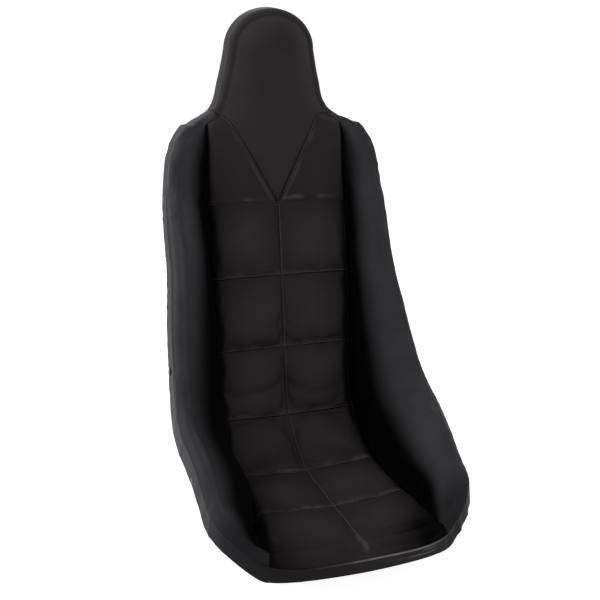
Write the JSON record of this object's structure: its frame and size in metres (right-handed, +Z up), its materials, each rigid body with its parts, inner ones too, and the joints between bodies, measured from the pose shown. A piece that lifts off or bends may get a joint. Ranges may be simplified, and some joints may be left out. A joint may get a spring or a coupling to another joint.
{
  "type": "racing bucket seat",
  "caption": "High-back moulded bucket seat with a quilted black vinyl slip-on cover, bolt-down base.",
  "frame": {"origin": "middle of the four base bolts, on the flat underside of the runners", "axes": "the seat faces -Y, +X is the sitter's left, +Z is up"},
  "size_m": [0.5536, 0.7753, 0.9003],
  "materials": {
    "shell_plastic": "fine satin grain, moulded black polyethylene",
    "cover_vinyl": "matte black vinyl with a soft leather grain",
    "piping_vinyl": "matte black vinyl",
    "foam": "open-cell foam",
    "elastic": "braided elastic cord",
    "snap_metal": "black lacquered, satin",
    "steel": "zinc plated"
  },
  "bodies": {
    "root": {"seat_shell": "shell_plastic", "base_inserts": "steel", "seat_foam": "foam", "back_foam": "foam", "headrest_foam": "foam", "gusset_foam_left": "foam", "gusset_foam_right": "foam", "bolster_foam_left": "foam", "bolster_foam_right": "foam", "quilted_panel": "cover_vinyl", "headrest_panel": "cover_vinyl", "shoulder_gusset_left": "cover_vinyl", "shoulder_gusset_right": "cover_vinyl", "bolster_cover_left": "cover_vinyl", "bolster_cover_right": "cover_vinyl", "front_band": "cover_vinyl", "side_band_left": "cover_vinyl", "side_band_right": "cover_vinyl", "headrest_band": "cover_vinyl", "headrest_rear_panel": "cover_vinyl", "rim_piping": "piping_vinyl", "hem_elastic": "elastic", "snap_caps": "snap_metal", "snap_sockets": "steel", "snap_studs": "steel", "stud_screws": "steel"}
  },
  "joints": []
}
